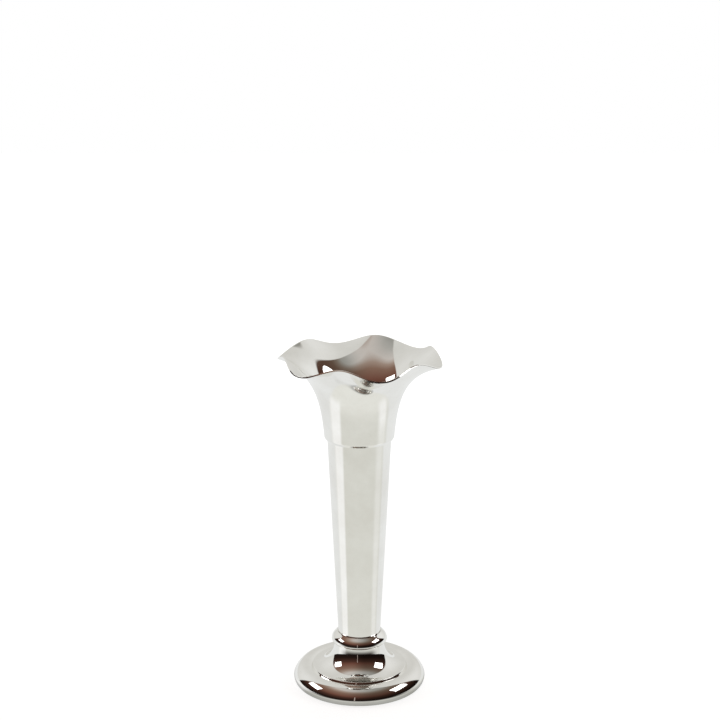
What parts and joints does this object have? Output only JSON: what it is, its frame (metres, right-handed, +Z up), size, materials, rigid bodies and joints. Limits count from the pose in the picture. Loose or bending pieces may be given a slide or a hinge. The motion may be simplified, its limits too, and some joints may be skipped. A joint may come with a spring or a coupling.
{
  "type": "trumpet vase",
  "caption": "Tall silver-plated trumpet vase with a ruffled, flared mouth, a tapered tube, a bead collar and a weighted, domed foot.",
  "frame": {"origin": "on the vase's axis, on the surface that it stands on", "axes": "+Z up along the vase's axis; -Y is the front"},
  "size_m": [0.0952, 0.0948, 0.2037],
  "materials": {
    "bell_silver": "silver plate on sheet brass, polished to a mirror",
    "tube_silver": "silver plate on drawn brass, polished to a mirror",
    "bottom_brass": "pressed sheet brass, soldered",
    "collar_silver": "silver plate on turned brass, polished to a mirror",
    "foot_silver": "silver plate on spun brass, polished to a mirror",
    "weight_iron": "rough casting",
    "stud_steel": "rolled thread, zinc plated",
    "washer_steel": "stamped, zinc plated",
    "nut_steel": "pressed, zinc plated",
    "plate_steel": "pressed sheet steel",
    "felt": "wool felt, glued"
  },
  "bodies": {
    "root": {"trumpet_bell": "bell_silver", "stem_tube": "tube_silver", "tube_bottom": "bottom_brass", "collar_ring": "collar_silver", "foot_shell": "foot_silver", "foot_weight": "weight_iron", "stud": "stud_steel", "washer": "washer_steel", "nut": "nut_steel", "base_plate": "plate_steel", "felt_pad": "felt"}
  },
  "joints": []
}
